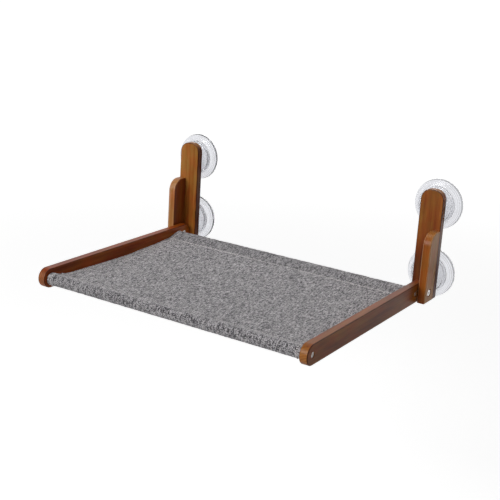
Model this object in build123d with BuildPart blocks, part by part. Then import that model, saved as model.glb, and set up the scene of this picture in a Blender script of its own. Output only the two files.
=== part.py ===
from build123d import *
import math
import os

# Window mounted cat perch: two wooden brackets on suction cups and a folding sling seat.
# Millimetres. The origin is on the window pane, in the middle of the four suction cups.
# X runs across the window, Y points into the glass, so the room is at -Y, and Z is up.

# Overall size and the window side
overall_width = 500.0  # over the outer faces of the two cheeks
cup_spacing = 112.0  # between the upper and lower cup centres
stand_off = 18.0  # from the pane to the back plates
board_edge_round = 1.5  # the small round-over on every board
overrun = 1.0  # how far a cut runs past a face
seat_clearance = 0.2  # between pieces that seat on each other
fit_clearance = 0.05  # round a pin, screw or insert in its bore

# Back plates
plate_width = 38.0
plate_thickness = 12.5
plate_height = 175.0
plate_top_margin = 28.0  # from the upper cup's centre to the plate's top
plate_corner_radius = 16.5
plate_foot_radius = 2.0

# Cheeks
cheek_thickness = 13.0
cheek_depth = 31.0
cheek_height = 111.5
cheek_corner_radius = 20.0
cheek_foot_radius = 3.0

# Rails
rail_thickness = 13.0
rail_height = 30.5
rail_reach = 358.0  # from the pivot to the tip of the half-round nose
rail_heel_radius = 3.0  # softens the corner where the heel's arc meets the top
rail_butt_radius = 1.5
rail_side_gap = 1.0  # between the rail and the cheek, for the washer
fold_clearance = 1.0  # between the folded rail and the back plate
butt_gap = 0.3  # between the rail's butt and the back plate, which is its stop

# Suction cups
cup_radius = 40.0
cup_rim_width = 1.8  # the flat ring that meets the pane
cup_lip_thickness = 1.8
cup_dish_depth = 3.0
cup_shoulder_height = 9.5  # from the pane to the ring that the cap presses on
cup_shoulder_radius = 31.0
cup_flare_bulge = 1.6  # how far the flare dips below a straight cone
cup_hub_radius = 25.0
cup_hub_height = 14.4

# Caps on the cups
cap_base_radius = 30.0
cap_top_radius = 28.5
cap_wall = 2.4
cap_top_thickness = 3.0
cap_edge_chamfer = 1.0

# Studs in the cups and inserts in the plates
stud_radius = 3.0
stud_flange_radius = 8.0
stud_flange_thickness = 2.4
stud_flange_height = 8.0  # from the pane to the flange
stud_tip_chamfer = 0.8
cup_insert_radius = 4.5
cup_insert_length = 9.0

# Wood screws through the plates into the cheeks
cheek_screw_radius = 2.0
cheek_screw_head_radius = 3.8
cheek_screw_length = 38.0
cheek_screw_point = 5.0
cheek_screw_recess = 0.4  # head below the plate's back face
cheek_screw_top_inset = 25.0  # from the cheek's top
cheek_screw_foot_inset = 34.0  # from the cheek's foot
screw_slot_length = 4.2
screw_slot_width = 1.0
screw_slot_depth = 1.4
countersink_angle = 90

# Pivots
bolt_head_radius = 5.3
bolt_head_thickness = 3.0
bolt_head_recess = 0.6  # head below the cheek's outer face
bolt_counterbore_radius = 6.5
bolt_radius = 2.5
bolt_socket_across = 4.0
bolt_socket_depth = 1.8
bolt_head_chamfer = 0.6
washer_radius = 8.0
washer_running_gap = 0.3
barrel_radius = 3.5
barrel_in_cheek = 4.0
nut_head_radius = 4.7
nut_head_thickness = 2.0
nut_head_recess = 0.6  # head below the rail's inner face
nut_counterbore_radius = 5.3
nut_head_play = 0.3  # between the nut's head and the rail
barrel_bore_depth = 11.0  # the nut's thread
nut_socket_depth = 1.4

# Rods and their screws
rod_radius = 7.0
rod_socket_depth = 3.0
rod_socket_clearance = 0.1
rod_end_chamfer = 0.8
front_rod_setback = 15.25  # from the rail's nose to the front rod
rear_rod_lead = 20.0  # from the pivot to the rear rod
rod_screw_radius = 2.5
rod_screw_head_radius = 4.2
rod_screw_head_thickness = 3.0
rod_screw_recess = 1.0
rod_screw_counterbore_radius = 4.8
rod_screw_length = 18.0
rod_screw_socket_across = 3.0
rod_screw_socket_depth = 1.6
rod_insert_radius = 4.0
rod_insert_length = 12.0

# Sling
cloth_thickness = 1.2
sleeve_clearance = 0.3  # between a rod and its sleeve
sling_side_gap = 1.0  # from the cloth's edge to the rail
stitch_distance = 22.0  # from a rod's centre to the hem's stitch line
hem_pocket_share = 0.78  # where the hem's two layers meet, as a share of stitch_distance
sling_sag = 3.5

# Places worked out from the sizes above
plate_back_y = -stand_off
plate_front_y = plate_back_y - plate_thickness
plate_top_z = cup_spacing / 2 + plate_top_margin
plate_foot_z = plate_top_z - plate_height
plate_middle_z = (plate_top_z + plate_foot_z) / 2
plate_middle_x = overall_width / 2 - plate_width / 2
cheek_outer_x = overall_width / 2
cheek_inner_x = cheek_outer_x - cheek_thickness
cheek_top_z = plate_foot_z + cheek_height
rail_outer_x = cheek_inner_x - rail_side_gap
rail_inner_x = rail_outer_x - rail_thickness
rail_foot_z = plate_foot_z
pivot_z = rail_foot_z + rail_height / 2
pivot_y = plate_front_y - rail_height / 2 - fold_clearance
butt_y = plate_front_y - butt_gap
nose_y = pivot_y - rail_reach
rod_z = pivot_z
front_rod_y = nose_y + front_rod_setback
rear_rod_y = pivot_y - rear_rod_lead
cup_places = {"upper": cup_spacing / 2, "lower": -cup_spacing / 2}
sides = {"right": 1, "left": -1}


def save(piece, name):
    piece.label = name
    export_step(piece, f"parts/{name}.step")


def out_plane(side, x, y, z):
    # A plane on a face that looks away from the middle of the perch
    return Plane(origin=(side * x, y, z), x_dir=(0, 1, 0), z_dir=(side, 0, 0))


def in_plane(side, x, y, z):
    # A plane on a face that looks towards the middle of the perch
    return Plane(origin=(side * x, y, z), x_dir=(0, 1, 0), z_dir=(-side, 0, 0))


def window_plane(x, y, z):
    # A plane on a face that looks at the window
    return Plane(origin=(x, y, z), x_dir=(1, 0, 0), z_dir=(0, 1, 0))


def cup_plane(x, z):
    # Local x runs out from the cup's axis and local y from the pane into the room
    return Plane(origin=(x, 0, z), x_dir=(1, 0, 0), z_dir=(0, 0, -1))


def cup_axis(x, z):
    return Axis((x, 0, z), (0, -1, 0))


def cheek_screw_places(side):
    x = side * (cheek_outer_x - cheek_thickness / 2)
    upper = (x, plate_back_y, cheek_top_z - cheek_screw_top_inset)
    lower = (x, plate_back_y, plate_foot_z + cheek_screw_foot_inset)
    return upper, lower


def make_back_plate(side):
    x = side * plate_middle_x
    top_radius = min(plate_corner_radius, plate_width / 2 - board_edge_round)
    with BuildPart() as plate:
        with BuildSketch(Plane.XZ.offset(stand_off)):
            with Locations((x, plate_middle_z)):
                Rectangle(plate_width, plate_height)
            fillet(vertices().group_by(Axis.Y)[-1], top_radius)
            fillet(vertices().group_by(Axis.Y)[0], plate_foot_radius)
        extrude(amount=plate_thickness)
        rims = faces().filter_by(Axis.Y).edges()
        fillet(rims, board_edge_round)
        for z in cup_places.values():
            with Locations(window_plane(x, plate_back_y, z)):
                Hole(cup_insert_radius + fit_clearance, cup_insert_length + seat_clearance)
        for place in cheek_screw_places(side):
            with Locations(window_plane(*place)):
                CounterSinkHole(
                    cheek_screw_radius + fit_clearance,
                    cheek_screw_head_radius + cheek_screw_recess,
                    depth=plate_thickness,
                    counter_sink_angle=countersink_angle,
                )
    return plate.part


def make_cheek(side):
    near_x = min(side * cheek_inner_x, side * cheek_outer_x)
    with BuildPart() as cheek:
        with BuildSketch(Plane.YZ.offset(near_x)):
            with Locations((plate_front_y, plate_foot_z)):
                Rectangle(cheek_depth, cheek_height, align=(Align.MAX, Align.MIN))
            front = vertices().group_by(Axis.X)[0]
            fillet(front.sort_by(Axis.Y)[-1], cheek_corner_radius)
            fillet(front.sort_by(Axis.Y)[0], cheek_foot_radius)
        extrude(amount=cheek_thickness)
        rims = faces().filter_by(Axis.X).edges()
        rims = rims.filter_by(lambda edge: edge.center().Y < plate_front_y - board_edge_round)
        fillet(rims, board_edge_round)
        with Locations(out_plane(side, cheek_outer_x, pivot_y, pivot_z)):
            CounterBoreHole(
                bolt_radius + fit_clearance,
                bolt_counterbore_radius,
                bolt_head_thickness + bolt_head_recess,
                cheek_thickness,
            )
        with Locations(in_plane(side, cheek_inner_x, pivot_y, pivot_z)):
            Hole(barrel_radius + fit_clearance, barrel_in_cheek)
        for place in cheek_screw_places(side):
            with Locations(window_plane(place[0], plate_front_y, place[2])):
                Hole(cheek_screw_radius + fit_clearance, cheek_screw_length - plate_thickness)
    return cheek.part


def make_cheek_screws(side):
    neck_height = cheek_screw_head_radius - cheek_screw_radius
    tip_height = cheek_screw_length - cheek_screw_recess - seat_clearance
    with BuildPart() as screws:
        for x, y, z in cheek_screw_places(side):
            head_y = y - cheek_screw_recess
            with BuildSketch(Plane(origin=(x, head_y, z), x_dir=(1, 0, 0), z_dir=(0, 0, -1))):
                with BuildLine():
                    Polyline(
                        (0, 0),
                        (cheek_screw_head_radius, 0),
                        (cheek_screw_radius, neck_height),
                        (cheek_screw_radius, tip_height - cheek_screw_point),
                        (0, tip_height),
                        close=True,
                    )
                make_face()
            revolve(axis=cup_axis(x, z))
            with BuildSketch(window_plane(x, head_y, z)):
                Rectangle(screw_slot_length, screw_slot_width)
                Rectangle(screw_slot_width, screw_slot_length)
            extrude(amount=-screw_slot_depth, mode=Mode.SUBTRACT)
    return screws.part


def make_cup(x, z):
    dish_radius = cup_radius - cup_rim_width
    dish_sphere = (dish_radius**2 + cup_dish_depth**2) / (2 * cup_dish_depth)
    pocket_radius = stud_flange_radius + seat_clearance
    pocket_foot = stud_flange_height - seat_clearance
    pocket_top = stud_flange_height + stud_flange_thickness + seat_clearance
    neck_radius = stud_radius + seat_clearance
    with BuildPart() as cup:
        with BuildSketch(cup_plane(x, z)):
            with BuildLine():
                dish = RadiusArc((0, cup_dish_depth), (dish_radius, 0), dish_sphere)
                rim = Line(dish @ 1, (cup_radius, 0))
                lip = Line(rim @ 1, (cup_radius, cup_lip_thickness))
                flare = SagittaArc(lip @ 1, (cup_shoulder_radius, cup_shoulder_height), cup_flare_bulge)
                Polyline(
                    flare @ 1,
                    (cup_hub_radius, cup_shoulder_height),
                    (cup_hub_radius, cup_hub_height),
                    (neck_radius, cup_hub_height),
                    (neck_radius, pocket_top),
                    (pocket_radius, pocket_top),
                    (pocket_radius, pocket_foot),
                    (0, pocket_foot),
                    dish @ 0,
                )
            make_face()
        revolve(axis=cup_axis(x, z))
    return cup.part


def make_cap(x, z):
    foot = cup_shoulder_height + seat_clearance
    top = stand_off - seat_clearance
    ceiling = top - cap_top_thickness
    bore = stud_radius + seat_clearance
    with BuildPart() as cap:
        with BuildSketch(cup_plane(x, z)):
            with BuildLine():
                Polyline(
                    (cap_base_radius - cap_wall, foot),
                    (cap_base_radius, foot),
                    (cap_top_radius, top),
                    (bore, top),
                    (bore, ceiling),
                    (cap_top_radius - cap_wall, ceiling),
                    close=True,
                )
            make_face()
            chamfer(vertices().group_by(Axis.Y)[-1].sort_by(Axis.X)[-1], cap_edge_chamfer)
        revolve(axis=cup_axis(x, z))
    return cap.part


def make_cup_studs(side):
    x = side * plate_middle_x
    length = stand_off + cup_insert_length - stud_flange_height - seat_clearance
    with BuildPart() as studs:
        for z in cup_places.values():
            with BuildSketch(Plane.XZ.offset(stud_flange_height)):
                with Locations((x, z)):
                    Circle(stud_flange_radius)
            extrude(amount=stud_flange_thickness)
            with BuildSketch(Plane.XZ.offset(stud_flange_height)):
                with Locations((x, z)):
                    Circle(stud_radius)
            extrude(amount=length)
        tips = edges().filter_by(GeomType.CIRCLE).group_by(Axis.Y)[0]
        chamfer(tips, stud_tip_chamfer)
    return studs.part


def make_cup_inserts(side):
    x = side * plate_middle_x
    with BuildPart() as inserts:
        with BuildSketch(Plane.XZ.offset(stand_off)):
            with Locations(*[(x, z) for z in cup_places.values()]):
                Circle(cup_insert_radius)
                Circle(stud_radius + fit_clearance, mode=Mode.SUBTRACT)
        extrude(amount=cup_insert_length)
    return inserts.part


def make_pivot_bolt(side):
    head_x = cheek_outer_x - bolt_head_recess
    neck_x = head_x - bolt_head_thickness
    tip_x = cheek_inner_x + barrel_in_cheek - barrel_bore_depth
    with BuildPart() as bolt:
        with BuildSketch(out_plane(side, head_x, pivot_y, pivot_z)):
            Circle(bolt_head_radius)
        extrude(amount=-bolt_head_thickness)
        crown = edges().filter_by(GeomType.CIRCLE).sort_by(Axis.X)[-1 if side > 0 else 0]
        chamfer(crown, bolt_head_chamfer)
        with BuildSketch(out_plane(side, neck_x, pivot_y, pivot_z)):
            Circle(bolt_radius)
        extrude(amount=tip_x - neck_x)
        with BuildSketch(out_plane(side, head_x, pivot_y, pivot_z)):
            RegularPolygon(bolt_socket_across / 2, 6, major_radius=False)
        extrude(amount=-bolt_socket_depth, mode=Mode.SUBTRACT)
    return bolt.part


def make_pivot_washer(side):
    with BuildPart() as washer:
        with BuildSketch(in_plane(side, cheek_inner_x, pivot_y, pivot_z)):
            Circle(washer_radius)
            Circle(barrel_radius + fit_clearance, mode=Mode.SUBTRACT)
        extrude(amount=rail_side_gap - washer_running_gap)
    return washer.part


def make_pivot_nut(side):
    head_x = rail_inner_x + nut_head_recess
    head_back_x = head_x + nut_head_thickness
    barrel_end_x = cheek_inner_x + barrel_in_cheek - seat_clearance
    with BuildPart() as nut:
        with BuildSketch(in_plane(side, head_x, pivot_y, pivot_z)):
            Circle(nut_head_radius)
        extrude(amount=-nut_head_thickness)
        with BuildSketch(in_plane(side, head_back_x, pivot_y, pivot_z)):
            Circle(barrel_radius)
        extrude(amount=-(barrel_end_x - head_back_x))
        with Locations(out_plane(side, barrel_end_x, pivot_y, pivot_z)):
            Hole(bolt_radius + fit_clearance, barrel_bore_depth)
        with BuildSketch(in_plane(side, head_x, pivot_y, pivot_z)):
            RegularPolygon(bolt_socket_across / 2, 6, major_radius=False)
        extrude(amount=-nut_socket_depth, mode=Mode.SUBTRACT)
    return nut.part


def make_rail(side):
    near_x = min(side * rail_inner_x, side * rail_outer_x)
    heel_radius = butt_y - pivot_y
    heel_angle = math.degrees(math.asin(rail_height / 2 / heel_radius))
    nose_radius = rail_height / 2
    nose_centre = (nose_y + nose_radius, pivot_z)
    with BuildPart() as rail:
        with BuildSketch(Plane.YZ.offset(near_x)):
            with BuildLine():
                nose = CenterArc(nose_centre, nose_radius, 90, 180)
                foot = Line(nose @ 1, (butt_y, rail_foot_z))
                butt = Line(foot @ 1, (butt_y, pivot_z))
                heel = CenterArc((pivot_y, pivot_z), heel_radius, 0, heel_angle)
                Line(heel @ 1, nose @ 0)
            make_face()
            corners = vertices()
            heel_corner = corners.group_by(Axis.Y)[-1].sort_by(Axis.X)[-1]
            butt_corner = corners.group_by(Axis.Y)[0].sort_by(Axis.X)[-1]
            fillet(heel_corner, rail_heel_radius)
            fillet(butt_corner, rail_butt_radius)
        extrude(amount=rail_thickness)
        rims = faces().filter_by(Axis.X).edges()
        fillet(rims, board_edge_round)
        with Locations(in_plane(side, rail_inner_x, pivot_y, pivot_z)):
            CounterBoreHole(
                barrel_radius + fit_clearance,
                nut_counterbore_radius,
                nut_head_recess + nut_head_thickness + nut_head_play,
                rail_thickness,
            )
        for y in (front_rod_y, rear_rod_y):
            with Locations(out_plane(side, rail_outer_x, y, rod_z)):
                CounterBoreHole(
                    rod_screw_radius + fit_clearance,
                    rod_screw_counterbore_radius,
                    rod_screw_head_thickness + rod_screw_recess,
                    rail_thickness,
                )
            with Locations(in_plane(side, rail_inner_x, y, rod_z)):
                Hole(rod_radius + rod_socket_clearance, rod_socket_depth)
    return rail.part


def make_rod(y):
    end_x = rail_inner_x + rod_socket_depth - seat_clearance
    with BuildPart() as rod:
        with BuildSketch(Plane.YZ.offset(-end_x)):
            with Locations((y, rod_z)):
                Circle(rod_radius)
        extrude(amount=2 * end_x)
        chamfer(edges().filter_by(GeomType.CIRCLE), rod_end_chamfer)
        for side in sides.values():
            with Locations(out_plane(side, end_x, y, rod_z)):
                Hole(rod_insert_radius + fit_clearance, rod_insert_length + seat_clearance)
    return rod.part


def make_rod_inserts(y):
    end_x = rail_inner_x + rod_socket_depth - seat_clearance
    with BuildPart() as inserts:
        for side in sides.values():
            with BuildSketch(out_plane(side, end_x, y, rod_z)):
                Circle(rod_insert_radius)
                Circle(rod_screw_radius + fit_clearance, mode=Mode.SUBTRACT)
            extrude(amount=-rod_insert_length)
    return inserts.part


def make_rod_screws(y):
    head_x = rail_outer_x - rod_screw_recess
    with BuildPart() as screws:
        for side in sides.values():
            with BuildSketch(out_plane(side, head_x, y, rod_z)):
                Circle(rod_screw_head_radius)
            extrude(amount=-rod_screw_head_thickness)
            with BuildSketch(out_plane(side, head_x - rod_screw_head_thickness, y, rod_z)):
                Circle(rod_screw_radius)
            extrude(amount=-(rod_screw_length - rod_screw_head_thickness))
            with BuildSketch(out_plane(side, head_x, y, rod_z)):
                RegularPolygon(rod_screw_socket_across / 2, 6, major_radius=False)
            extrude(amount=-rod_screw_socket_depth, mode=Mode.SUBTRACT)
    return screws.part


def teardrop(y, radius, reach, half_gap):
    # A round loop about a rod that narrows to its end at reach, towards the seat's middle
    angle = math.acos(radius / reach)
    towards = math.copysign(1, front_rod_y + rear_rod_y - 2 * y)
    touch_y = y + towards * radius * math.cos(angle)
    touch_z = radius * math.sin(angle)
    end_y = y + towards * reach
    with BuildSketch() as loop:
        with BuildLine():
            upper = Line((end_y, rod_z + half_gap), (touch_y, rod_z + touch_z))
            arc = ThreePointArc(upper @ 1, (y - towards * radius, rod_z), (touch_y, rod_z - touch_z))
            lower = Line(arc @ 1, (end_y, rod_z - half_gap))
            if half_gap > 0:
                Line(lower @ 1, upper @ 0)
        make_face()
    return loop.sketch_local


def make_sling():
    half_width = rail_inner_x - sling_side_gap
    inner_radius = rod_radius + sleeve_clearance
    outer_radius = inner_radius + cloth_thickness
    half_cloth = cloth_thickness / 2
    front_stitch_y = front_rod_y + stitch_distance
    rear_stitch_y = rear_rod_y - stitch_distance
    middle_y = (front_stitch_y + rear_stitch_y) / 2
    with BuildPart() as sling:
        with BuildSketch(Plane.YZ.offset(-half_width)):
            for y in (front_rod_y, rear_rod_y):
                add(teardrop(y, outer_radius, stitch_distance, half_cloth))
            with BuildLine():
                upper = ThreePointArc(
                    (front_stitch_y, rod_z + half_cloth),
                    (middle_y, rod_z + half_cloth - sling_sag),
                    (rear_stitch_y, rod_z + half_cloth),
                )
                lower = ThreePointArc(
                    (rear_stitch_y, rod_z - half_cloth),
                    (middle_y, rod_z - half_cloth - sling_sag),
                    (front_stitch_y, rod_z - half_cloth),
                )
                Line(upper @ 1, lower @ 0)
                Line(lower @ 1, upper @ 0)
            make_face()
        extrude(amount=2 * half_width)
        with BuildSketch(Plane.YZ.offset(-half_width - overrun)):
            for y in (front_rod_y, rear_rod_y):
                add(teardrop(y, inner_radius, stitch_distance * hem_pocket_share, 0))
        extrude(amount=2 * (half_width + overrun), mode=Mode.SUBTRACT)
    return sling.part


os.makedirs("parts", exist_ok=True)

for side_name, side in sides.items():
    save(make_back_plate(side), f"{side_name}_back_plate")
    save(make_cheek(side), f"{side_name}_cheek")
    save(make_cheek_screws(side), f"{side_name}_cheek_screws")
    for place_name, place_z in cup_places.items():
        save(make_cup(side * plate_middle_x, place_z), f"{side_name}_{place_name}_cup")
        save(make_cap(side * plate_middle_x, place_z), f"{side_name}_{place_name}_cap")
    save(make_cup_studs(side), f"{side_name}_cup_studs")
    save(make_cup_inserts(side), f"{side_name}_cup_inserts")
    save(make_pivot_bolt(side), f"{side_name}_pivot_bolt")
    save(make_pivot_washer(side), f"{side_name}_pivot_washer")
    save(make_pivot_nut(side), f"{side_name}_pivot_nut")
    save(make_rail(side), f"{side_name}_rail")

for rod_name, rod_y in {"front": front_rod_y, "rear": rear_rod_y}.items():
    save(make_rod(rod_y), f"{rod_name}_rod")
    save(make_rod_inserts(rod_y), f"{rod_name}_rod_inserts")
    save(make_rod_screws(rod_y), f"{rod_name}_rod_screws")

save(make_sling(), "sling")
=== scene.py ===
import math

import bmesh
import bpy
from mathutils import Matrix, Vector, noise


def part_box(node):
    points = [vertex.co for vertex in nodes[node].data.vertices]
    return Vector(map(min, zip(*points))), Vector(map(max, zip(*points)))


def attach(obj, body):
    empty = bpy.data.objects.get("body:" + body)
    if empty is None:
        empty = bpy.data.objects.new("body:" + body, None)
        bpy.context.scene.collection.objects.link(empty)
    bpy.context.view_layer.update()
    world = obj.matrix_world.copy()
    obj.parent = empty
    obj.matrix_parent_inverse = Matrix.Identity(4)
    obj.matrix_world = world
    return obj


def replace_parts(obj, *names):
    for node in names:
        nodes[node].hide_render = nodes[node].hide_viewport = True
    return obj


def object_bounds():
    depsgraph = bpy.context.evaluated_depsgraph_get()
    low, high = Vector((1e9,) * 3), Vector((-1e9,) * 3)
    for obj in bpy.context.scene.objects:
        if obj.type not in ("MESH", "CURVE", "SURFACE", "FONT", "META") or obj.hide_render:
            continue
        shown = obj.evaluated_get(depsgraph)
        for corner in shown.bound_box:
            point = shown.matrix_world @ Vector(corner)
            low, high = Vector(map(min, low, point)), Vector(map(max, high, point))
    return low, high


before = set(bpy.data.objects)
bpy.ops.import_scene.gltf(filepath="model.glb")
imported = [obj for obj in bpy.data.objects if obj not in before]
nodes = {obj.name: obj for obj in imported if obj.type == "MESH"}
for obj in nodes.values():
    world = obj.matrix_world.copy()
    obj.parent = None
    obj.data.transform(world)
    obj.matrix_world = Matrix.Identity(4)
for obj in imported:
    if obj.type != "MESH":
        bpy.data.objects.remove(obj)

# Window perch for a cat: stained wooden arms, a grey sling on two rods and four clear suction cups.
# Metres. The window pane is the plane y = 0 and the room is on its -y side, as in the CAD model.

cadLow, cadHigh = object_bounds()
sides = {"left": -1, "right": 1}
print("frame loaded,", len(nodes), "nodes")


# Shader maths as Python expressions

class Wire:
    def __init__(self, finish, socket):
        self.finish = finish
        self.socket = socket

    def maths(self, operation, first, second=0.0):
        return self.finish.node("ShaderNodeMath", {"operation": operation}, {0: first, 1: second})

    def __add__(self, other):
        return self.maths("ADD", self, other)

    __radd__ = __add__

    def __sub__(self, other):
        return self.maths("SUBTRACT", self, other)

    def __rsub__(self, other):
        return self.maths("SUBTRACT", other, self)

    def __mul__(self, other):
        return self.maths("MULTIPLY", self, other)

    __rmul__ = __mul__

    def __truediv__(self, other):
        return self.maths("DIVIDE", self, other)

    def __pow__(self, other):
        return self.maths("POWER", self, other)

    def __abs__(self):
        return self.maths("ABSOLUTE", self)

    def floor(self):
        return self.maths("FLOOR", self)

    def fraction(self):
        return self.maths("FRACT", self)

    def cosine(self):
        return self.maths("COSINE", self)

    def clamped(self):
        return self.maths("MINIMUM", self.maths("MAXIMUM", self, 0.0), 1.0)

    def spread(self, amount):
        # pushes a noise away from its middle, and keeps it between 0 and 1
        return ((self - 0.5) * amount + 0.5).clamped()

    def step(self, low, high):
        inputs = {"Value": self, "From Min": low, "From Max": high}
        return self.finish.node("ShaderNodeMapRange", {"interpolation_type": "SMOOTHSTEP"}, inputs)


class Finish:
    def __init__(self, name):
        self.material = bpy.data.materials.new(name)
        self.material.use_nodes = True
        self.tree = self.material.node_tree
        self.surface = self.tree.nodes["Principled BSDF"]

    def node(self, kind, settings=None, inputs=None, output=0):
        made = self.tree.nodes.new(kind)
        for key, value in (settings or {}).items():
            if key == "stops":
                self.fillRamp(made.color_ramp, value)
            else:
                setattr(made, key, value)
        for key, value in (inputs or {}).items():
            self.plug(value, made.inputs[key])
        return Wire(self, made.outputs[output])

    def fillRamp(self, ramp, stops):
        while len(ramp.elements) < len(stops):
            ramp.elements.new(1.0)
        for element, (place, colour) in zip(ramp.elements, stops):
            element.position = place
            element.color = (*colour, 1.0)

    def plug(self, value, socket):
        if isinstance(value, Wire):
            self.tree.links.new(value.socket, socket)
        elif isinstance(value, tuple) and socket.type == "RGBA":
            socket.default_value = (*value, 1.0)
        else:
            socket.default_value = value

    def parts(self, vector):
        made = self.node("ShaderNodeSeparateXYZ", inputs={0: vector}).socket.node
        return [Wire(self, socket) for socket in made.outputs]

    def place(self, x, y, z=0.0):
        return self.node("ShaderNodeCombineXYZ", inputs={0: x, 1: y, 2: z})

    def noise(self, vector, detail=2.0, scale=1.0):
        inputs = {"Vector": vector, "Scale": scale, "Detail": detail}
        return self.node("ShaderNodeTexNoise", inputs=inputs)

    def mix(self, share, first, second, blend="MIX"):
        settings = {"data_type": "RGBA", "blend_type": blend}
        return self.node("ShaderNodeMix", settings, {0: share, 6: first, 7: second}, output=2)

    def grey(self, level):
        # a colour from a plain level: 0 for black, 1 for white
        return self.mix(level, (0.0, 0.0, 0.0), (1.0, 1.0, 1.0))

    def ramp(self, value, stops):
        return self.node("ShaderNodeValToRGB", {"stops": stops}, {0: value})

    def bump(self, height, strength, depth):
        inputs = {"Strength": strength, "Distance": depth, "Height": height}
        return self.node("ShaderNodeBump", inputs=inputs)

    def wear(self, **values):
        # sets the sockets of the surface shader, baseColor for Base Color
        sockets = {socket.name.replace(" ", "").lower(): socket for socket in self.surface.inputs}
        for name, value in values.items():
            self.plug(value, sockets[name.lower()])


# Stained wood, cut from a solid log: rings about a pith, broad streaks and fine fibres

woodLook = {
    "ringGap": 0.0036,
    "ringWander": 0.0028,
    "ringSharpness": 3.0,
    "ringEdge": (0.93, 1.0),   # the last part of a ring, where its dark wood ends
    "ringShade": 0.05,
    "streak": (0.170, 0.0060),      # length and width
    "fibre": (0.022, 0.00060),
    "wander": (7.0, 45.0),     # how many patches a metre, along and across the grain
    "cloud": (9.0, 30.0),
    "stain": (32.0, 80.0),
    "streakShare": 0.36,
    "fibreShare": 0.20,
    "cloudShare": 0.42,
    "streakContrast": 1.5,
    "fibreContrast": 1.6,
    "cloudContrast": 1.9,
    "stops": [
        (0.12, (0.100, 0.019, 0.003)),
        (0.38, (0.235, 0.058, 0.007)),
        (0.56, (0.330, 0.102, 0.013)),
        (0.84, (0.480, 0.195, 0.038)),
        (1.00, (0.600, 0.330, 0.150)),
    ],
    "redStain": (1.06, 0.92, 0.90),
    "goldStain": (0.95, 1.08, 1.02),
    "stainEdge": (0.36, 0.64),
    "endGrain": (0.46, 0.190, 0.045),
    "endDark": (0.20, 0.058, 0.010),
    "endDarkShare": 0.8,
    "endContrast": 1.2,
    "endShare": 0.7,
    "endEdge": (0.45, 0.9),
    # painted shade along the rounded edges, as dark outlines
    "rimShade": (0.050, 0.013, 0.004),
    "rimShare": 0.95,
    "rimSharpness": 0.6,
    "rimPatches": 60.0,
    "rimEdge": (0.22, 0.52),
    "footReach": (-0.055, 0.030),
    "footShade": 0.0,          # painted shade: what the lower end loses
    "tone": 0.0,
    "faceTone": 0.0,           # painted light on the broad faces where it is above 0, painted shade where it is below 0
    "dye": (1.0, 1.0, 1.0),
    "roughness": 0.33,
    "roughnessRange": 0.14,
    "specular": 0.30,
    "fibreRelief": 0.7,
    "ringRelief": 0.3,
    "reliefContrast": 1.5,
    "reliefStrength": 0.5,
    "relief": 0.00012,
}


def stainedWood(name, board):
    look = {**woodLook, **board}
    grain = board["grain"]
    pith = board["pith"]
    finish = Finish(name)
    spots = dict(zip("xyz", finish.parts(finish.node("ShaderNodeTexCoord", output="Object"))))
    turns = dict(zip("xyz", finish.parts(finish.node("ShaderNodeTexCoord", output="Normal"))))
    cross = [letter for letter in "xyz" if letter != grain]
    along = spots[grain] + board["shift"]
    first = spots[cross[0]] - pith[0]
    second = spots[cross[1]] - pith[1]

    def patches(key):
        lengthwise, crosswise = look[key]
        return finish.noise(finish.place(along * lengthwise, first * crosswise, second * crosswise))

    def lines(key, detail):
        length, width = look[key]
        return finish.noise(finish.place(along / length, first / width, second / width), detail)

    radius = (first * first + second * second) ** 0.5 + (patches("wander") - 0.5) * look["ringWander"] * 2
    ring = (radius / look["ringGap"]).fraction()
    late = ring ** look["ringSharpness"] * (1 - ring.step(*look["ringEdge"]))
    streak = lines("streak", 2.0)
    fibre = lines("fibre", 3.0)

    side = turns[look["thickness"]] * turns[look["thickness"]]
    value = streak.spread(look["streakContrast"]) * look["streakShare"]
    value = value + fibre.spread(look["fibreContrast"]) * look["fibreShare"]
    value = value + patches("cloud").spread(look["cloudContrast"]) * look["cloudShare"]
    # the broad faces get painted light from a board's setting above 0 and painted shade from one below 0
    value = value - late * look["ringShade"] + side * look["faceTone"] + look["tone"]
    # painted shade, darker towards the lower end of the board
    if look["footShade"]:
        value = value - (1 - spots["z"].step(*look["footReach"])) * look["footShade"]
    colour = finish.ramp(value, look["stops"])
    stain = finish.mix(patches("stain").step(*look["stainEdge"]), look["redStain"], look["goldStain"])
    colour = finish.mix(1.0, colour, stain, "MULTIPLY")
    colour = finish.mix(1.0, colour, look["dye"], "MULTIPLY")

    end = abs(turns[grain]).step(*look["endEdge"]) * look["endShare"]
    endDark = late.spread(look["endContrast"]) * look["endDarkShare"]
    colour = finish.mix(end, colour, finish.mix(endDark, look["endGrain"], look["endDark"]))

    # 1 where a rounded edge turns half way between a broad face and a narrow one
    rim = (side * (1 - side) * 4.0).clamped() ** look["rimSharpness"]
    patch = finish.noise(finish.place(*[spots[letter] * look["rimPatches"] for letter in "xyz"]))
    # painted shade on the rounded edges, in patches; on the right cheek a painted highlight instead
    colour = finish.mix(rim * patch.step(*look["rimEdge"]) * look["rimShare"], colour, look["rimShade"])

    relief = fibre.spread(look["reliefContrast"]) * look["fibreRelief"] + (1 - late) * look["ringRelief"]
    finish.wear(
        baseColor=colour,
        roughness=fibre * look["roughnessRange"] + (look["roughness"] - look["roughnessRange"] / 2),
        normal=finish.bump(relief, look["reliefStrength"], look["relief"]),
        specularIorLevel=look["specular"],
    )
    return finish.material


# Metals

steelLook = {"colour": (0.97, 0.94, 0.91), "roughness": 0.22, "scratch": 0.00005, "metallic": 0.8}
brassLook = {"colour": (0.72, 0.52, 0.24), "roughness": 0.30, "scratch": 0.00003, "metallic": 1.0}
metalWear = {
    "dull": 0.84,              # how bright the handled patches stay
    "patches": 240.0,          # a metre
    "patchEdge": (0.35, 0.75),
    "grit": 2600.0,
    "gritStrength": 0.4,
    "roughnessRange": 0.18,
}


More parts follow.
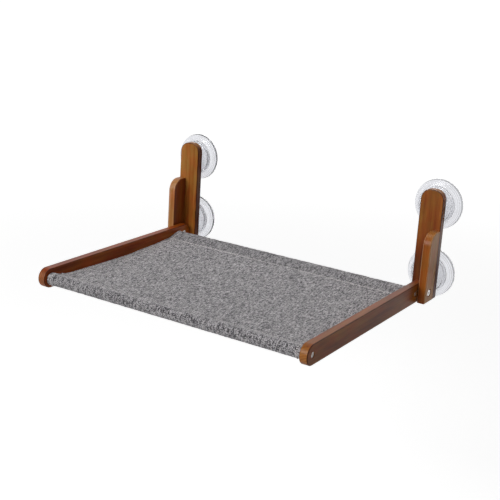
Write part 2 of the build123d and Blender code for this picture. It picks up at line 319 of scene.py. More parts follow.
def metal(name, look):
    wear = metalWear
    finish = Finish(name)
    spot = finish.node("ShaderNodeTexCoord", output="Object")
    cloud = finish.noise(spot, 3.0, wear["patches"])
    grit = finish.noise(spot, 2.0, wear["grit"])
    dull = tuple(wear["dull"] * part for part in look["colour"])
    finish.wear(
        baseColor=finish.mix(cloud.step(*wear["patchEdge"]), look["colour"], dull),
        metallic=look["metallic"],
        roughness=cloud * wear["roughnessRange"] + (look["roughness"] - wear["roughnessRange"] / 2),
        normal=finish.bump(grit, wear["gritStrength"], look["scratch"]),
    )
    return finish.material


# Clear mouldings, with painted shade in rings, each of its own darkness at a radius from their middle, where
# the moulded rings and the rims look dark

vinylLook = {
    "colour": (0.952, 0.960, 1.0),
    "clear": 0.91,
    "roughness": 0.10,
    "ripple": 0.00025,
    "ior": 1.50,
    # radius and what is left of the colour there: painted shade, the last ring a dark outline at the rim
    "rings": [(0.0310, 0.64), (0.0328, 0.86), (0.0348, 0.78), (0.0370, 0.56), (0.0393, 0.10)],
}
plasticLook = {
    "colour": (0.965, 0.968, 0.990),
    "clear": 0.88,
    "roughness": 0.07,
    "ripple": 0.0001,
    "ior": 1.49,
    "rings": [(0.0206, 0.84), (0.0236, 0.80), (0.0262, 0.84), (0.0283, 0.74)],
}
mouldingLook = {
    "ringReach": 0.0400,       # the radius at the end of the rings' ramp
    "ringHalf": 0.0006,
    "milky": 0.96,
    "milkyEdge": (0.35, 0.7),
    "clouds": 70.0,            # a metre
    "haze": 420.0,
    "roughnessRange": 0.10,
    "rippleStrength": 0.7,
}
cupMiddle = (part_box("right_upper_cup")[0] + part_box("right_upper_cup")[1]) / 2


def clearMoulding(name, look):
    shared = mouldingLook
    reach = shared["ringReach"]
    half = shared["ringHalf"]
    finish = Finish(name)
    spot = finish.node("ShaderNodeTexCoord", output="Object")
    x, _, z = finish.parts(spot)
    across = abs(x) - cupMiddle.x
    up = abs(z) - cupMiddle.z
    radius = (across * across + up * up) ** 0.5
    stops = []
    for middle, shade in look["rings"]:
        stops.append(((middle - half) / reach, (1.0, 1.0, 1.0)))
        stops.append((middle / reach, (shade, shade, shade)))
        stops.append((min(1.0, (middle + half) / reach), (1.0, 1.0, 1.0)))
    # painted shade: dark rings where the moulded rings and the edges look dark through the clear moulding
    rings = finish.ramp(radius / reach, stops)
    cloud = finish.noise(spot, 2.0, shared["clouds"])
    haze = finish.noise(spot, 3.0, shared["haze"])
    milky = tuple(shared["milky"] * part for part in look["colour"])
    colour = finish.mix(cloud.step(*shared["milkyEdge"]), look["colour"], milky)
    finish.wear(
        baseColor=finish.mix(1.0, colour, rings, "MULTIPLY"),
        roughness=haze * shared["roughnessRange"] + (look["roughness"] - shared["roughnessRange"] / 2),
        normal=finish.bump(cloud, shared["rippleStrength"], look["ripple"]),
        transmissionWeight=look["clear"],
        ior=look["ior"],
    )
    return finish.material


# Linen-like cloth in a plain weave of mottled yarns, on the UV map "weave" in metres

clothLook = {
    "yarn": 0.0013,
    "warpSlub": 0.0090,        # how far a yarn keeps its tone
    "weftSlub": 0.0038,
    "warpStep": 3.17,          # how far apart in the noise two neighbouring yarns lie
    "weftStep": 2.83,
    "weftDepth": 7.0,          # how deep in the noise the weft lies
    "patchStep": 6.0,          # and each kind of patch below the last
    "warpBunch": (0.0013, 0.0150),     # width and length of yarns that are dark or light together
    "weftBunch": (0.0090, 0.0014),
    "cloud": (0.0160, 0.0380),
    "yarnShare": 1.00,
    "warpShare": 0.13,
    "weftShare": 0.05,
    "cloudShare": 0.12,
    "yarnContrast": 10.0,
    "bunchContrast": 8.0,
    "cloudContrast": 2.5,
    "stops": [
        (0.06, (0.065, 0.060, 0.068)),
        (0.36, (0.215, 0.201, 0.213)),
        (0.60, (0.440, 0.417, 0.434)),
        (0.94, (0.820, 0.788, 0.806)),
    ],
    "gap": (0.060, 0.056, 0.062),
    "gapShare": 0.45,
    "relief": 0.00035,
    "reliefStrength": 0.8,
    "toneRelief": 0.6,
    "frontHem": (0.010, 0.022, 0.0545, 0.0570),   # along the cloth, where the painted shade of the front hem fades in and out
    "rearHem": (0.353, 0.359),
    "hemShade": 0.20,
    "leftShade": 0.14,         # what the painted shade gains towards the left
    "leftReach": 0.20,
    "crease": 0.0573,          # painted highlight: a light line along the top of the front rod, where the cloth turns over it
    "creaseSlant": 0.003,
    "creaseHalf": 0.0012,
    "creaseShare": 0.48,
    "creaseTone": (0.90, 0.87, 0.89),
    "roughness": 0.92,
    "roughnessRange": 0.1,
    "sheen": 0.25,
    "sheenRoughness": 0.6,
    "specular": 0.25,
}


def mottledCloth(name):
    look = clothLook
    finish = Finish(name)
    u, v, _ = finish.parts(finish.node("ShaderNodeUVMap", {"uv_map": "weave"}))
    across = u / look["yarn"]
    down = v / look["yarn"]
    warpOnTop = ((across.floor() + down.floor()) / 2).fraction() * 2
    warp = finish.noise(finish.place(across.floor() * look["warpStep"], v / look["warpSlub"]))
    weftPlace = finish.place(u / look["weftSlub"], down.floor() * look["weftStep"], look["weftDepth"])
    weft = finish.noise(weftPlace)
    patches = []
    for key in ("warpBunch", "weftBunch", "cloud"):
        wide, long = look[key]
        patches.append(finish.noise(finish.place(u / wide, v / long, len(patches) * look["patchStep"]), 1.0))
    warpBunch, weftBunch, cloud = patches
    tone = weft + (warp - weft) * warpOnTop
    value = tone.spread(look["yarnContrast"]) * look["yarnShare"]
    value = value + warpBunch.spread(look["bunchContrast"]) * look["warpShare"]
    value = value + weftBunch.spread(look["bunchContrast"]) * look["weftShare"]
    value = value + cloud.spread(look["cloudContrast"]) * look["cloudShare"]
    total = look["warpShare"] + look["weftShare"] + look["yarnShare"] + look["cloudShare"]
    value = (value - (total - 1) / 2).clamped()
    warpRound = ((across.fraction() - 0.5) * math.pi).cosine()
    weftRound = ((down.fraction() - 0.5) * math.pi).cosine()
    height = weftRound + (warpRound - weftRound) * warpOnTop
    colour = finish.ramp(value, look["stops"])
    colour = finish.mix((1 - height) * look["gapShare"], colour, look["gap"])
    under, front, top, back = look["frontHem"]
    # painted shade on the cloth round both rods, deeper towards the left, mixed towards the weave's gap
    # colour
    hem = v.step(under, front) * (1 - v.step(top, back)) + v.step(*look["rearHem"])
    left = 1 - u.step(-look["leftReach"], look["leftReach"])
    colour = finish.mix(hem * (left * look["leftShade"] + look["hemShade"]), colour, look["gap"])
    # painted highlight along the top of the front rod
    crease = 1 - abs(v - u * look["creaseSlant"] - look["crease"]).step(0.0, look["creaseHalf"])
    colour = finish.mix(crease * look["creaseShare"], colour, look["creaseTone"])
    finish.wear(
        baseColor=colour,
        roughness=look["roughness"] - value * look["roughnessRange"],
        normal=finish.bump(height + tone * look["toneRelief"], look["reliefStrength"], look["relief"]),
        sheenWeight=look["sheen"],
        sheenRoughness=look["sheenRoughness"],
        specularIorLevel=look["specular"],
    )
    return finish.material


threadLook = {
    "light": (0.84, 0.81, 0.80),
    "dark": (0.66, 0.63, 0.63),
    "plies": 1800.0,           # a metre
    "roughness": 0.8,
    "reliefStrength": 0.6,
    "relief": 0.0001,
}


def twistedThread(name):
    look = threadLook
    finish = Finish(name)
    spot = finish.node("ShaderNodeTexCoord", output="Object")
    ply = finish.noise(spot, 2.0, look["plies"])
    finish.wear(
        baseColor=finish.mix(ply, look["light"], look["dark"]),
        roughness=look["roughness"],
        normal=finish.bump(ply, look["reliefStrength"], look["relief"]),
    )
    return finish.material


def dress(piece, material):
    piece.data.materials.clear()
    piece.data.materials.append(material)


def shapeFrom(name, mesh, material, body):
    data = bpy.data.meshes.new(name)
    mesh.to_mesh(data)
    mesh.free()
    piece = bpy.data.objects.new(name, data)
    bpy.context.scene.collection.objects.link(piece)
    dress(piece, material)
    data.shade_smooth()
    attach(piece, body)
    return piece


# Finishes of the boards, metal and small parts that stay as they come

steel = metal("brightSteel", steelLook)
brass = metal("brass", brassLook)
vinyl = clearMoulding("clearVinyl", vinylLook)
plastic = clearMoulding("clearPlastic", plasticLook)
cloth = mottledCloth("greyCloth")
thread = twistedThread("greyThread")

boards = {
    "left_back_plate": {
        "grain": "z",
        "thickness": "y",
        "pith": (-0.262, 0.045),
        "shift": 0.31,
        "tone": -0.27,
        "faceTone": 0.50,
        "footShade": 0.28,
        "dye": (1.06, 1.18, 1.60),
        "specular": 0.12,
    },
    "right_back_plate": {
        "grain": "z",
        "thickness": "y",
        "pith": (0.268, 0.052),
        "shift": 1.17,
        "tone": -0.17,
        "faceTone": 0.22,
        "footShade": 0.29,
        "footReach": (-0.030, 0.016),
        "dye": (1.03, 1.08, 1.30),
        "specular": 0.28,
    },
    "left_cheek": {
        "grain": "z",
        "thickness": "x",
        "pith": (-0.290, -0.005),
        "shift": 2.43,
        # its tone, taken off again on the broad faces below, paints light on the cheek's narrow front face
        "tone": 0.52,
        "faceTone": -0.52,
        "rimShare": 0.25,
        "dye": (1.03, 0.98, 1.40),
    },
    "right_cheek": {
        "grain": "z",
        "thickness": "x",
        "pith": (0.282, -0.020),
        "shift": 3.71,
        "tone": 0.02,
        "faceTone": 0.27,
        "dye": (1.04, 0.98, 0.98),
        "specular": 0.24,
        "rimShade": (0.66, 0.40, 0.20),      # painted highlight on its rounded edges, the front edge catching the light
        "rimShare": 0.55,
    },
    "left_rail": {
        "grain": "y",
        "thickness": "x",
        "pith": (-0.260, -0.110),
        "shift": 4.29,
        "tone": -0.12,
        "faceTone": 0.11,
        "endShare": 0.55,
        "endGrain": (0.34, 0.160, 0.078),
        "dye": (1.10, 0.82, 0.74),
        "specular": 0.14,
    },
    "right_rail": {
        "grain": "y",
        "thickness": "x",
        "pith": (0.246, -0.118),
        "shift": 5.83,
        "tone": -0.14,
        "faceTone": 0.07,
        "specular": 0.20,
    },
    "front_rod": {"grain": "x", "thickness": "x", "pith": (-0.392, -0.080), "shift": 6.1, "tone": 0.1},
    "rear_rod": {"grain": "x", "thickness": "x", "pith": (-0.070, -0.072), "shift": 7.3, "tone": 0.1},
}
for name, board in boards.items():
    dress(nodes[name], stainedWood(f"stainedWood_{name}", board))
for name, piece in nodes.items():
    if name.endswith(("_screws", "_bolt", "_nut", "_washer", "_studs")):
        dress(piece, steel)
    elif name.endswith("_inserts"):
        dress(piece, brass)
print("boards and metal finished")


# Suction cups and caps, turned about their own axes

cupShape = {
    "rimWidth": 0.0018,
    "lip": 0.0018,
    "rimRound": 0.0007,
    "dishDepth": 0.0030,
    "dishBulge": 0.0005,
    "dishSteps": 8,
    "flareBulge": -0.0016,     # the flare between lip and shoulder is hollow
    "flareSteps": 44,
    "shoulderRadius": 0.0310,
    "shoulderHeight": 0.0095,
    "hubRadius": 0.0250,
    "hubHeight": 0.0144,
    "pocketRadius": 0.0082,
    "pocketFoot": 0.0078,
    "pocketTop": 0.0106,
    "neckRadius": 0.0032,
    "bead": (0.0391, 0.0018, 0.00055),      # a ring's radius, width and height
    "rings": [(0.0368, 0.0012, 0.00035), (0.0348, 0.0010, 0.00028), (0.0328, 0.0010, 0.00028)],
    "steps": 96,
}
capShape = {
    "baseRadius": 0.0300,
    "topRadius": 0.0285,
    "wall": 0.0024,
    "top": 0.0030,
    "foot": 0.0097,
    "face": 0.0178,
    "bore": 0.0032,
    "edgeRound": 0.0012,
    "footRound": 0.0004,
    "grooves": [(0.0262, 0.0011, -0.0004), (0.0236, 0.0010, -0.0004), (0.0206, 0.0010, -0.0003)],
    "flatEdge": 0.0016,        # from the face's edge to where its fine steps start
    "flatEnd": 0.0195,         # the radius where they end
    "flatSteps": 36,
    "steps": 96,
}
turning = {"roundSegments": 4, "onAxis": 1e-7, "weld": 1e-6}


def ringed(rings, radius):
    # how far rings raise a turned surface at this radius
    height = 0.0
    for middle, width, rise in rings:
        near = min(1.0, abs(radius - middle) / (width / 2))
        height += rise * (1 + math.cos(math.pi * near)) / 2
    return height


def arcBetween(start, end, bulge, count):
    # points after start on an arc through start and end that bows out to the left by bulge
    first = Vector(start)
    last = Vector(end)
    middle = (first + last) / 2
    half = (last - first).length / 2
    radius = (half * half + bulge * bulge) / (2 * bulge)
    across = Vector((first.y - last.y, last.x - first.x)).normalized()
    centre = middle - across * (radius - bulge)
    reach = first - centre
    sweep = -2 * math.asin(half / radius)
    points = []
    for step in range(1, count + 1):
        turn = Matrix.Rotation(sweep * step / count, 2)
        points.append(tuple(centre + turn @ reach))
    return points


def turned(name, outline, rounds, x, z, steps, material):
    # outline is a closed loop of (radius, distance from the pane), spun about the cup's axis
    mesh = bmesh.new()
    corners = [mesh.verts.new((radius, -depth, 0)) for radius, depth in outline]
    for corner, following in zip(corners, corners[1:] + corners[:1]):
        mesh.edges.new((corner, following))
    for size, members in rounds:
        picked = [corners[index] for index in members]
        bmesh.ops.bevel(
            mesh,
            geom=picked,
            offset=size,
            segments=turning["roundSegments"],
            profile=0.5,
            affect="VERTICES",
            material=-1,
        )
    onAxis = [edge for edge in mesh.edges if all(abs(vert.co.x) < turning["onAxis"] for vert in edge.verts)]
    bmesh.ops.delete(mesh, geom=onAxis, context="EDGES")
    bmesh.ops.spin(
        mesh,
        geom=mesh.verts[:] + mesh.edges[:],
        cent=(0, 0, 0),
        axis=(0, 1, 0),
        angle=math.tau,
        steps=steps,
        use_merge=True,
    )
    bmesh.ops.remove_doubles(mesh, verts=mesh.verts[:], dist=turning["weld"])
    bmesh.ops.recalc_face_normals(mesh, faces=mesh.faces[:])
    bmesh.ops.translate(mesh, verts=mesh.verts[:], vec=(x, 0, z))
    return shapeFrom(name, mesh, material, "window_brackets")


def makeCup(name, x, z):
    shape = cupShape
    low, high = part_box(name)
    radius = (high.x - low.x) / 2
    dish = (radius - shape["rimWidth"], 0.0)
    lip = (radius, shape["lip"])
    shoulder = (shape["shoulderRadius"], shape["shoulderHeight"])
    outline = [(0.0, shape["dishDepth"])]
    outline += arcBetween(outline[0], dish, shape["dishBulge"], shape["dishSteps"])
    rim = len(outline)
    outline += [(radius, 0.0), lip]
    rings = shape["rings"] + [shape["bead"]]
    flare = arcBetween(lip, shoulder, shape["flareBulge"], shape["flareSteps"])
    outline += [(across, depth + ringed(rings, across)) for across, depth in flare]
    outline += [
        (shape["hubRadius"], shape["shoulderHeight"]),
        (shape["hubRadius"], shape["hubHeight"]),
        (shape["neckRadius"], shape["hubHeight"]),
        (shape["neckRadius"], shape["pocketTop"]),
        (shape["pocketRadius"], shape["pocketTop"]),
        (shape["pocketRadius"], shape["pocketFoot"]),
        (0.0, shape["pocketFoot"]),
    ]
    rounds = [(shape["rimRound"], [rim, rim + 1])]
    return turned(name + "_clear", outline, rounds, x, z, shape["steps"], vinyl)


def makeCap(name, x, z):
    shape = capShape
    ceiling = shape["face"] - shape["top"]
    outline = [
        (shape["baseRadius"] - shape["wall"], shape["foot"]),
        (shape["baseRadius"], shape["foot"]),
        (shape["topRadius"], shape["face"]),
    ]
    edge = shape["topRadius"] - shape["flatEdge"]
    for step in range(shape["flatSteps"] + 1):
        radius = edge - (edge - shape["flatEnd"]) * step / shape["flatSteps"]
        outline.append((radius, shape["face"] + ringed(shape["grooves"], radius)))
    outline += [
        (shape["bore"], shape["face"]),
        (shape["bore"], ceiling),
        (shape["topRadius"] - shape["wall"], ceiling),
    ]
    rounds = [(shape["edgeRound"], [2]), (shape["footRound"], [0, 1])]
    return turned(name + "_clear", outline, rounds, x, z, shape["steps"], plastic)


for sideName in sides:
    for level in ("upper", "lower"):
        cupName = f"{sideName}_{level}_cup"
        low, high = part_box(cupName)
        centre = (low + high) / 2
        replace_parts(makeCup(cupName, centre.x, centre.z), cupName)
        capName = f"{sideName}_{level}_cap"
        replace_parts(makeCap(capName, centre.x, centre.z), capName)
print("cups and caps turned")


# Sling: one length of cloth with a sleeve round each rod and a turned hem along each side

frontLow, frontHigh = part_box("front_rod")
frontRod = (frontLow + frontHigh) / 2
rearLow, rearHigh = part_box("rear_rod")
rearRod = (rearLow + rearHigh) / 2
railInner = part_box("right_rail")[0].x

slingShape = {
    "halfWidth": railInner - 0.001,         # a little play beside the rails
    "thickness": 0.0009,
    "layerGap": 0.0011,        # between the middles of two layers that lie on each other
    "tail": 0.008,             # past the seam, on the underside
    "sideHem": 0.009,
    "sag": 0.0035,
    "narrowing": 0.004,        # the share by which the sides draw in at the middle
    "frontPucker": (0.0009, 0.016),    # height, and how far from the seam it dies away
    "rearPucker": (0.0006, 0.014),
    "puckerWaves": (110, 230, 0.6),    # a metre, the coarse and the fine, and the share of the fine
    "puckerSlant": 20,
    "puckerSeed": 21.0,
    "heldFlat": 0.003,         # the stretch beside a seam that it holds flat
    "cornerLift": (0.0045, 0.007),     # where a side hem meets the front seam
    "leftFold": (0.0009, 0.034, 760),  # height, reach and radians a metre, of folds beside the left rail
    "leftFoldFade": 0.030,
    "leftFoldFlat": 0.004,
    # height, how much it gathers at the middle, waves a metre across, aslant and along, and a seed
    "swells": [(0.0009, 0.6, 11, 5, 9, 31.0), (0.0005, 0.5, 24, -10, 17, 37.0)],
    "edgeSwell": (0.0007, 0.4, 30, 3, 41.0),
    "edgeReach": 0.020,
    "columns": 250,
    "bendColumns": 4,
    "hemColumns": 3,
    "panelRows": 66,
    "loopRows": 42,
    "tailRows": 4,
}
sleeves = {
    "front": {
        "rod": frontRod,
        "stitch": 0.0192,      # from the rod's centre to the seam
        "towards": 1,          # the way to the middle of the sling along y
        "top": 0.0079,
        "nose": 0.0090,
        "under": 0.0096,
        "ripple": 0.00060,
        "pucker": 0.00055,     # small upright folds that the seam draws in
        "leftNose": 0.0010,    # how much looser the sleeve is at its left end
        "leftTop": -0.0004,
        "seed": 3.0,
    },
    "rear": {
        "rod": rearRod,
        "stitch": 0.0275,
        "towards": -1,
        "top": 0.0081,
        "nose": 0.0086,
        "under": 0.0094,
        "ripple": 0.00040,
        "pucker": 0.00030,
        "leftNose": -0.0006,
        "leftTop": -0.0006,
        "seed": 11.0,
    },
}
sleeveFolds = {
    "tight": 0.35,             # the share of the ripple where the cloth is tight
    "loosest": math.pi * 0.72,         # the angle of the loosest cloth, past the top of the rod
    "spread": 1.5,
    "ripples": [(85, 0.9, 1.0), (180, 1.3, 0.6)],   # waves a metre, waves a radian, share
    "puckers": (330, 0.8),
    "outward": 0.3,            # the ripple stands out more than in
    "leftReach": 0.038,
    "leftPower": 0.7,
    "flatShare": 0.9,          # of the stretch from the seam to the rod
    "slackFade": 0.5,
    "slackUnder": 0.3,
}


def wave(x, y, seed):
    return noise.noise(Vector((x, y, seed)))


def ease(value):
    held = min(1.0, max(0.0, value))
    return held * held * (3 - 2 * held)


def leftFolds(x):
    # small folds that run back to front beside the left rail
    height, reach, waves = slingShape["leftFold"]
    fromEdge = slingShape["halfWidth"] + x
    return height * (1 - ease(fromEdge / reach)) * math.sin(fromEdge * waves)


def seamPucker(x, shift):
    coarse, fine, fineShare = slingShape["puckerWaves"]
    seed = slingShape["puckerSeed"]
    return wave(x * coarse, 0.0, seed) + fineShare * wave(x * fine, shift, seed + 1)


def sleeveRadius(sleeve, x, angle):
    sine = math.sin(angle)
    cosine = math.cos(angle)
    radius = sleeve["top"] * max(0.0, sine) ** 2 + sleeve["under"] * min(0.0, sine) ** 2
    radius += sleeve["nose"] * cosine * cosine
    atLeft = 1 - ease((slingShape["halfWidth"] + x) / sleeveFolds["leftReach"])
    atNose = max(0.0, -cosine) ** sleeveFolds["leftPower"]
    radius += atLeft * (sleeve["leftNose"] * atNose + sleeve["leftTop"] * max(0.0, sine))
    radius += leftFolds(x) * max(0.0, sine)
    loosest = ease(1 - abs(angle - sleeveFolds["loosest"]) / sleeveFolds["spread"])
    loose = sleeveFolds["tight"] + (1 - sleeveFolds["tight"]) * loosest
    ripple = sleeveFolds["outward"]
    for index, (across, around, share) in enumerate(sleeveFolds["ripples"]):
        ripple += share * wave(x * across, angle * around, sleeve["seed"] + 5 * index)
    across, around = sleeveFolds["puckers"]
    pucker = wave(x * across, angle * around, sleeve["seed"] + 9)
    return radius + loose * (sleeve["ripple"] * ripple + sleeve["pucker"] * pucker)


def sleevePoint(sleeve, x, angle, depth):
    # a loop about the rod, drawn in to the seam; angle 0 faces the middle of the sling
    radius = sleeveRadius(sleeve, x, angle) - depth
    reach = sleeve["stitch"]
    turn = min(angle, math.tau - angle)
    touch = math.acos(radius / reach)
    away = radius / math.cos(max(0.0, touch - turn))
    flat = 1 - ease(turn / (touch * sleeveFolds["flatShare"]))
    across = away * math.cos(angle)
    up = away * math.sin(angle)
    over = angle < math.pi
    up += slingShape["layerGap"] / 2 * flat * (1 if over else -1) - depth * flat
    slack = ease(turn / touch) * (1 - ease((turn - touch) / sleeveFolds["slackFade"]))
    slack *= 1 if over else sleeveFolds["slackUnder"]
    up += sleeve["ripple"] * slack * seamPucker(x, 1.0)
    return Vector((x, sleeve["rod"].y + sleeve["towards"] * across, sleeve["rod"].z + up))


def panelPoint(_, x, share, depth):
    shape = slingShape
    start = frontRod.y + sleeves["front"]["stitch"]
    end = rearRod.y - sleeves["rear"]["stitch"]
    y = start + (end - start) * share
    fromFront = (end - start) * share
    fromRear = (end - start) * (1 - share)
    belly = max(0.0, 4 * share * (1 - share))
    edge = shape["halfWidth"] - abs(x)
    up = shape["layerGap"] / 2 - shape["sag"] * belly
    pucker = seamPucker(x, y * shape["puckerSlant"])
    height, reach = shape["frontPucker"]
    up += height * pucker * math.exp(-fromFront / reach) * ease(fromFront / shape["heldFlat"])
    height, reach = shape["rearPucker"]
    up += height * pucker * math.exp(-fromRear / reach) * ease(fromRear / shape["heldFlat"])
    fade = math.exp(-fromRear / shape["leftFoldFade"])
    up += leftFolds(x) * fade * ease(fromRear / shape["leftFoldFlat"])
    for height, power, wide, slant, long, seed in shape["swells"]:
        up += height * belly ** power * wave(x * wide + y * slant, y * long, seed)
    height, power, long, wide, seed = shape["edgeSwell"]
    fade = math.exp(-edge / shape["edgeReach"])
    up += height * belly ** power * wave(y * long, x * wide, seed) * fade
    height, reach = shape["cornerLift"]
    up += height * math.exp(-edge / reach - fromFront / reach) * ease(fromFront / shape["heldFlat"])
    inward = 1 - shape["narrowing"] * belly
    return Vector((x * inward, y, frontRod.z + up - depth))


def tailPoint(sleeve, x, share, depth):
    # the free end of the sleeve's lower layer, which lies under the panel past the seam
    beyond = slingShape["tail"] * share
    run = rearRod.y - frontRod.y - sleeves["front"]["stitch"] - sleeves["rear"]["stitch"]
    panel = panelPoint(None, x, beyond / run if sleeve["towards"] > 0 else 1 - beyond / run, 0)
    panel.z += depth - slingShape["layerGap"]
    return panel


def slingRows():
    # each row is a way to find a point, the sleeve that it belongs to and how far along it lies
    shape = slingShape
    front = sleeves["front"]
    rear = sleeves["rear"]
    rows = []
    for index in range(shape["tailRows"]):
        rows.append((tailPoint, front, 1 - index / shape["tailRows"]))
    for index in range(shape["loopRows"] + 1):
        rows.append((sleevePoint, front, math.tau * (1 - index / shape["loopRows"])))
    for index in range(1, shape["panelRows"]):
        rows.append((panelPoint, None, index / shape["panelRows"]))
    for index in range(shape["loopRows"] + 1):
        rows.append((sleevePoint, rear, math.tau * index / shape["loopRows"]))
    for index in range(1, shape["tailRows"] + 1):
        rows.append((tailPoint, rear, index / shape["tailRows"]))
    return rows


def slingColumns():
    # x, depth below the outer layer and distance along the cloth, from one hem's raw edge to the other's
    shape = slingShape
    bend = shape["layerGap"] / 2
    straight = shape["halfWidth"] - bend
    count = shape["columns"] // 2
    half = []
    for index in range(1, count + 1):
        x = straight * index / count
        half.append((x, 0.0, x))
    for index in range(1, shape["bendColumns"] + 1):
        turn = math.pi * index / shape["bendColumns"]
        half.append((straight + bend * math.sin(turn), bend * (1 - math.cos(turn)), straight + bend * turn))
    for index in range(1, shape["hemColumns"] + 1):
        back = shape["sideHem"] * index / shape["hemColumns"]
        half.append((straight - back, 2 * bend, straight + bend * math.pi + back))
    mirrored = [(-x, depth, -run) for x, depth, run in reversed(half)]
    return mirrored + [(0.0, 0.0, 0.0)] + half


def slingPoint(row, x, depth=0.0):
    shaper, sleeve, share = row
    return shaper(sleeve, x, share, depth)


def makeSling(rows):
    columns = slingColumns()
    lengths = [0.0]
    for row, following in zip(rows, rows[1:]):
        lengths.append(lengths[-1] + (slingPoint(following, 0.0) - slingPoint(row, 0.0)).length)
    mesh = bmesh.new()
    bmesh.ops.create_grid(mesh, x_segments=len(columns) - 1, y_segments=len(rows) - 1, size=0.5)
    weave = mesh.loops.layers.uv.new("weave")
    flat = {}
    for vert in mesh.verts:
        column = round((vert.co.x + 0.5) * (len(columns) - 1))
        row = round((vert.co.y + 0.5) * (len(rows) - 1))
        x, depth, run = columns[column]
        vert.co = slingPoint(rows[row], x, depth)
        flat[vert] = (run, lengths[row])
    for face in mesh.faces:
        for loop in face.loops:
            loop[weave].uv = flat[loop.vert]
    piece = shapeFrom("sling_cloth", mesh, cloth, "seat")
    wall = piece.modifiers.new("thickness", "SOLIDIFY")
    wall.thickness = slingShape["thickness"]
    wall.offset = 0.0
    width = columns[-1][2] - columns[0][2]
    return piece, (width, lengths[-1])


# Seams: small stitches, half sunk in the cloth

stitches = {
    "length": 0.0027,
    "gap": 0.0008,
    "radius": 0.00078,
    "sink": 0.00006,
    "standing": 0.6,           # the share of its radius by which a stitch stands out
    "flatness": 0.75,
    "sideInset": 0.0068,       # from the cloth's edge to the side seam
    "endInset": 0.002,         # from the cloth's edge to a rod's seam
    "seamSteps": 120,
    "freeRows": 4,             # rows past a rod's seam, underneath, that a side seam leaves bare
    "segments": 6,
}


def makeStitch():
    mesh = bmesh.new()
    segments = stitches["segments"]
    bmesh.ops.create_uvsphere(mesh, u_segments=segments, v_segments=segments, radius=1.0)
    data = bpy.data.meshes.new("stitch")
    mesh.to_mesh(data)
    mesh.free()
    return data


def sewSeam(mesh, template, points, outward):
    # lays stitches along a line of points; outward gives the way out of the cloth at each of them
    walked = 0.0
    wanted = stitches["gap"]
    for index in range(len(points) - 1):
        start = points[index]
        run = points[index + 1] - start
        along = run.normalized()
        while wanted + stitches["length"] / 2 < walked + run.length:
            out = outward[index].normalized()
            lift = slingShape["thickness"] / 2 + stitches["radius"] * stitches["standing"] - stitches["sink"]
            middle = start + along * (wanted + stitches["length"] / 2 - walked) + out * lift
            side = out.cross(along).normalized()
            sizes = (stitches["length"] / 2, stitches["radius"], stitches["radius"] * stitches["flatness"])
            axes = Matrix((along, side, along.cross(side))).transposed()
            shape = Matrix.LocRotScale(middle, axes, Vector(sizes))
            stitch = template.copy()
            stitch.transform(shape)
            mesh.from_mesh(stitch)
            bpy.data.meshes.remove(stitch)
            wanted += stitches["length"] + stitches["gap"]
        walked += run.length


def outwardAt(row, x):
    # square to the cloth, away from its hidden side
    shaper, sleeve, _ = row
    if shaper is not sleevePoint:
        return Vector((0, 0, 1 if shaper is panelPoint else -1))
    point = slingPoint(row, x)
    return Vector((0, point.y - sleeve["rod"].y, point.z - sleeve["rod"].z))


def makeStitching(rows):
    mesh = bmesh.new()
    template = makeStitch()
    half = slingShape["halfWidth"] - stitches["endInset"]
    steps = stitches["seamSteps"]
    places = [half * (index / (steps / 2) - 1) for index in range(steps + 1)]
    tail = slingShape["tailRows"]
    panelStart = tail + slingShape["loopRows"] + 1
    panelEnd = panelStart + slingShape["panelRows"] - 1
    for index in (tail, panelStart - 1, panelEnd, len(rows) - tail - 1):
        up = index in (panelStart - 1, panelEnd)
        outward = [Vector((0, 0, 1 if up else -1))] * len(places)
        sewSeam(mesh, template, [slingPoint(rows[index], x) for x in places], outward)
    for side in sides.values():
        x = side * (slingShape["halfWidth"] - stitches["sideInset"])
        free = tail + stitches["freeRows"]
        seen = rows[free:len(rows) - free]
        outward = [outwardAt(row, x) for row in seen]
        sewSeam(mesh, template, [slingPoint(row, x) for row in seen], outward)
    return shapeFrom("sling_stitching", mesh, thread, "seat")


slingGrid = slingRows()
slingPiece, slingFlat = makeSling(slingGrid)
stitching = makeStitching(slingGrid)
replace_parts(slingPiece, "sling")
print("sling laid, flat size", [round(size, 4) for size in slingFlat])


# Studio: a pale floor well below the perch, a pale world and soft lamps

studio = {
    "floorDrop": 0.55,
    "floorSize": 60.0,
    "floorColour": (0.80, 0.80, 0.80),
    "floorGlow": 0.63,         # added where the floor is seen, so that it looks white
    "farFloorGlow": 0.95,      # and past the lamps' reach
    "lampReach": (1.0, 4.5),
    "floorRoughness": 0.9,
    "worldLight": 0.15,
    "farGlow": 1.0,            # what polished faces mirror from the window side
    "nearGlow": 0.35,          # and from the room side
    "floorTurn": (-0.8, 0.6),  # where the floor goes from the one to the other
    "worldTurn": (-0.35, 0.35),
    "flag": 0.60,              # how much a dark board on the floor, right of the perch, takes from that
    "flagLeft": (0.30, 0.60),  # where its edges fade: left, near and far
    "flagNear": (-0.2, 0.3),
    "flagFar": (1.2, 1.7),
    "lamps": {
        "keyLamp": {"place": (-0.9, -2.6, 1.2), "size": 1.6, "watts": 44.0},
        "topLamp": {"place": (0.1, 0.2, 2.6), "size": 2.0, "watts": 24.0},
    },
}
view = {
    "azimuth": 31.78,
    "elevation": 16.86,
    "roll": 3.62,
    "distance": 1.68651,
    "target": (-0.01028, -0.1645, -0.03538),
    "focalPixels": 1065.12,
    "picturePixels": 500,
    "sensor": 36.0,
    "clip": (0.05, 100.0),
}


class WorldFinish(Finish):
    def __init__(self, name):
        self.world = bpy.data.worlds.new(name)
        self.world.use_nodes = True
        self.tree = self.world.node_tree
        self.surface = self.tree.nodes["Background"]


def rays(finish, *kinds):
    # 1 for rays of these kinds, "Camera" for a straight look
    path = finish.node("ShaderNodeLightPath").socket.node
    found = 0.0
    for kind in kinds:
        found = Wire(finish, path.outputs[f"Is {kind} Ray"]) + found
    return found.clamped()


def mirroredLevel(y, turn):
    return y.step(*turn) * (studio["farGlow"] - studio["nearGlow"]) + studio["nearGlow"]


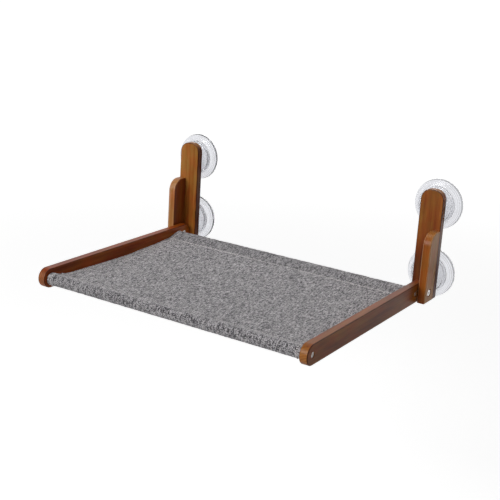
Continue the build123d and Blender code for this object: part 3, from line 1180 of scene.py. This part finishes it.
def makeFloor():
    mesh = bmesh.new()
    bmesh.ops.create_grid(mesh, x_segments=8, y_segments=8, size=studio["floorSize"] / 2)
    bmesh.ops.translate(mesh, verts=mesh.verts[:], vec=(0, 0, cadLow.z - studio["floorDrop"]))
    data = bpy.data.meshes.new("floor")
    mesh.to_mesh(data)
    mesh.free()
    floor = bpy.data.objects.new("floor", data)
    bpy.context.scene.collection.objects.link(floor)
    finish = Finish("paleFloor")
    x, y, _ = finish.parts(finish.node("ShaderNodeTexCoord", output="Object"))
    away = ((x * x + y * y) ** 0.5).step(*studio["lampReach"])
    glowLevel = away * (studio["farFloorGlow"] - studio["floorGlow"]) + studio["floorGlow"]
    flag = x.step(*studio["flagLeft"]) * y.step(*studio["flagNear"]) * (1 - y.step(*studio["flagFar"]))
    mirrored = mirroredLevel(y, studio["floorTurn"]) * (1 - flag * studio["flag"])
    glow = finish.node("ShaderNodeEmission", inputs={"Color": finish.grey(mirrored)})
    finish.wear(
        baseColor=studio["floorColour"],
        roughness=studio["floorRoughness"],
        specularIorLevel=0.0,
        emissionColor=finish.grey(rays(finish, "Camera", "Transmission") * glowLevel),
        emissionStrength=1.0,
    )
    shaders = {0: rays(finish, "Glossy"), 1: Wire(finish, finish.surface.outputs[0]), 2: glow}
    blend = finish.node("ShaderNodeMixShader", inputs=shaders)
    output = finish.tree.nodes["Material Output"]
    finish.plug(blend, output.inputs["Surface"])
    dress(floor, finish.material)


def makeWorld():
    finish = WorldFinish("paleRoom")
    _, y, _ = finish.parts(finish.node("ShaderNodeTexCoord", output="Generated"))
    seen = rays(finish, "Camera", "Transmission")
    shiny = rays(finish, "Glossy")
    mirrored = mirroredLevel(y, studio["worldTurn"]) * shiny
    strength = seen + (1 - seen) * (mirrored + (1 - shiny) * studio["worldLight"])
    finish.plug(finish.grey(strength), finish.surface.inputs["Color"])
    bpy.context.scene.world = finish.world


def makeLamps():
    for name, lamp in studio["lamps"].items():
        data = bpy.data.lights.new(name, "AREA")
        data.shape = "DISK"
        data.size = lamp["size"]
        data.energy = lamp["watts"]
        made = bpy.data.objects.new(name, data)
        made.location = lamp["place"]
        aim = Vector(view["target"]) - made.location
        made.rotation_euler = aim.to_track_quat("-Z", "Y").to_euler()
        bpy.context.scene.collection.objects.link(made)


def makeCamera():
    azimuth = math.radians(view["azimuth"])
    elevation = math.radians(view["elevation"])
    roll = math.radians(view["roll"])
    level = math.cos(elevation)
    back = Vector((math.sin(azimuth) * level, -math.cos(azimuth) * level, math.sin(elevation)))
    right = Vector((math.cos(azimuth), math.sin(azimuth), 0))
    up = back.cross(right)
    tiltedRight = math.cos(roll) * right + math.sin(roll) * up
    tiltedUp = math.cos(roll) * up - math.sin(roll) * right
    data = bpy.data.cameras.new("camera")
    data.sensor_width = view["sensor"]
    data.lens = view["focalPixels"] / view["picturePixels"] * view["sensor"]
    data.clip_start, data.clip_end = view["clip"]
    camera = bpy.data.objects.new("camera", data)
    camera.matrix_world = Matrix.LocRotScale(
        Vector(view["target"]) + back * view["distance"],
        Matrix((tiltedRight, tiltedUp, back)).transposed(),
        None,
    )
    bpy.context.scene.collection.objects.link(camera)
    bpy.context.scene.camera = camera


makeFloor()
makeWorld()
makeLamps()
makeCamera()
bpy.context.scene.view_settings.view_transform = "Standard"
print("studio set")
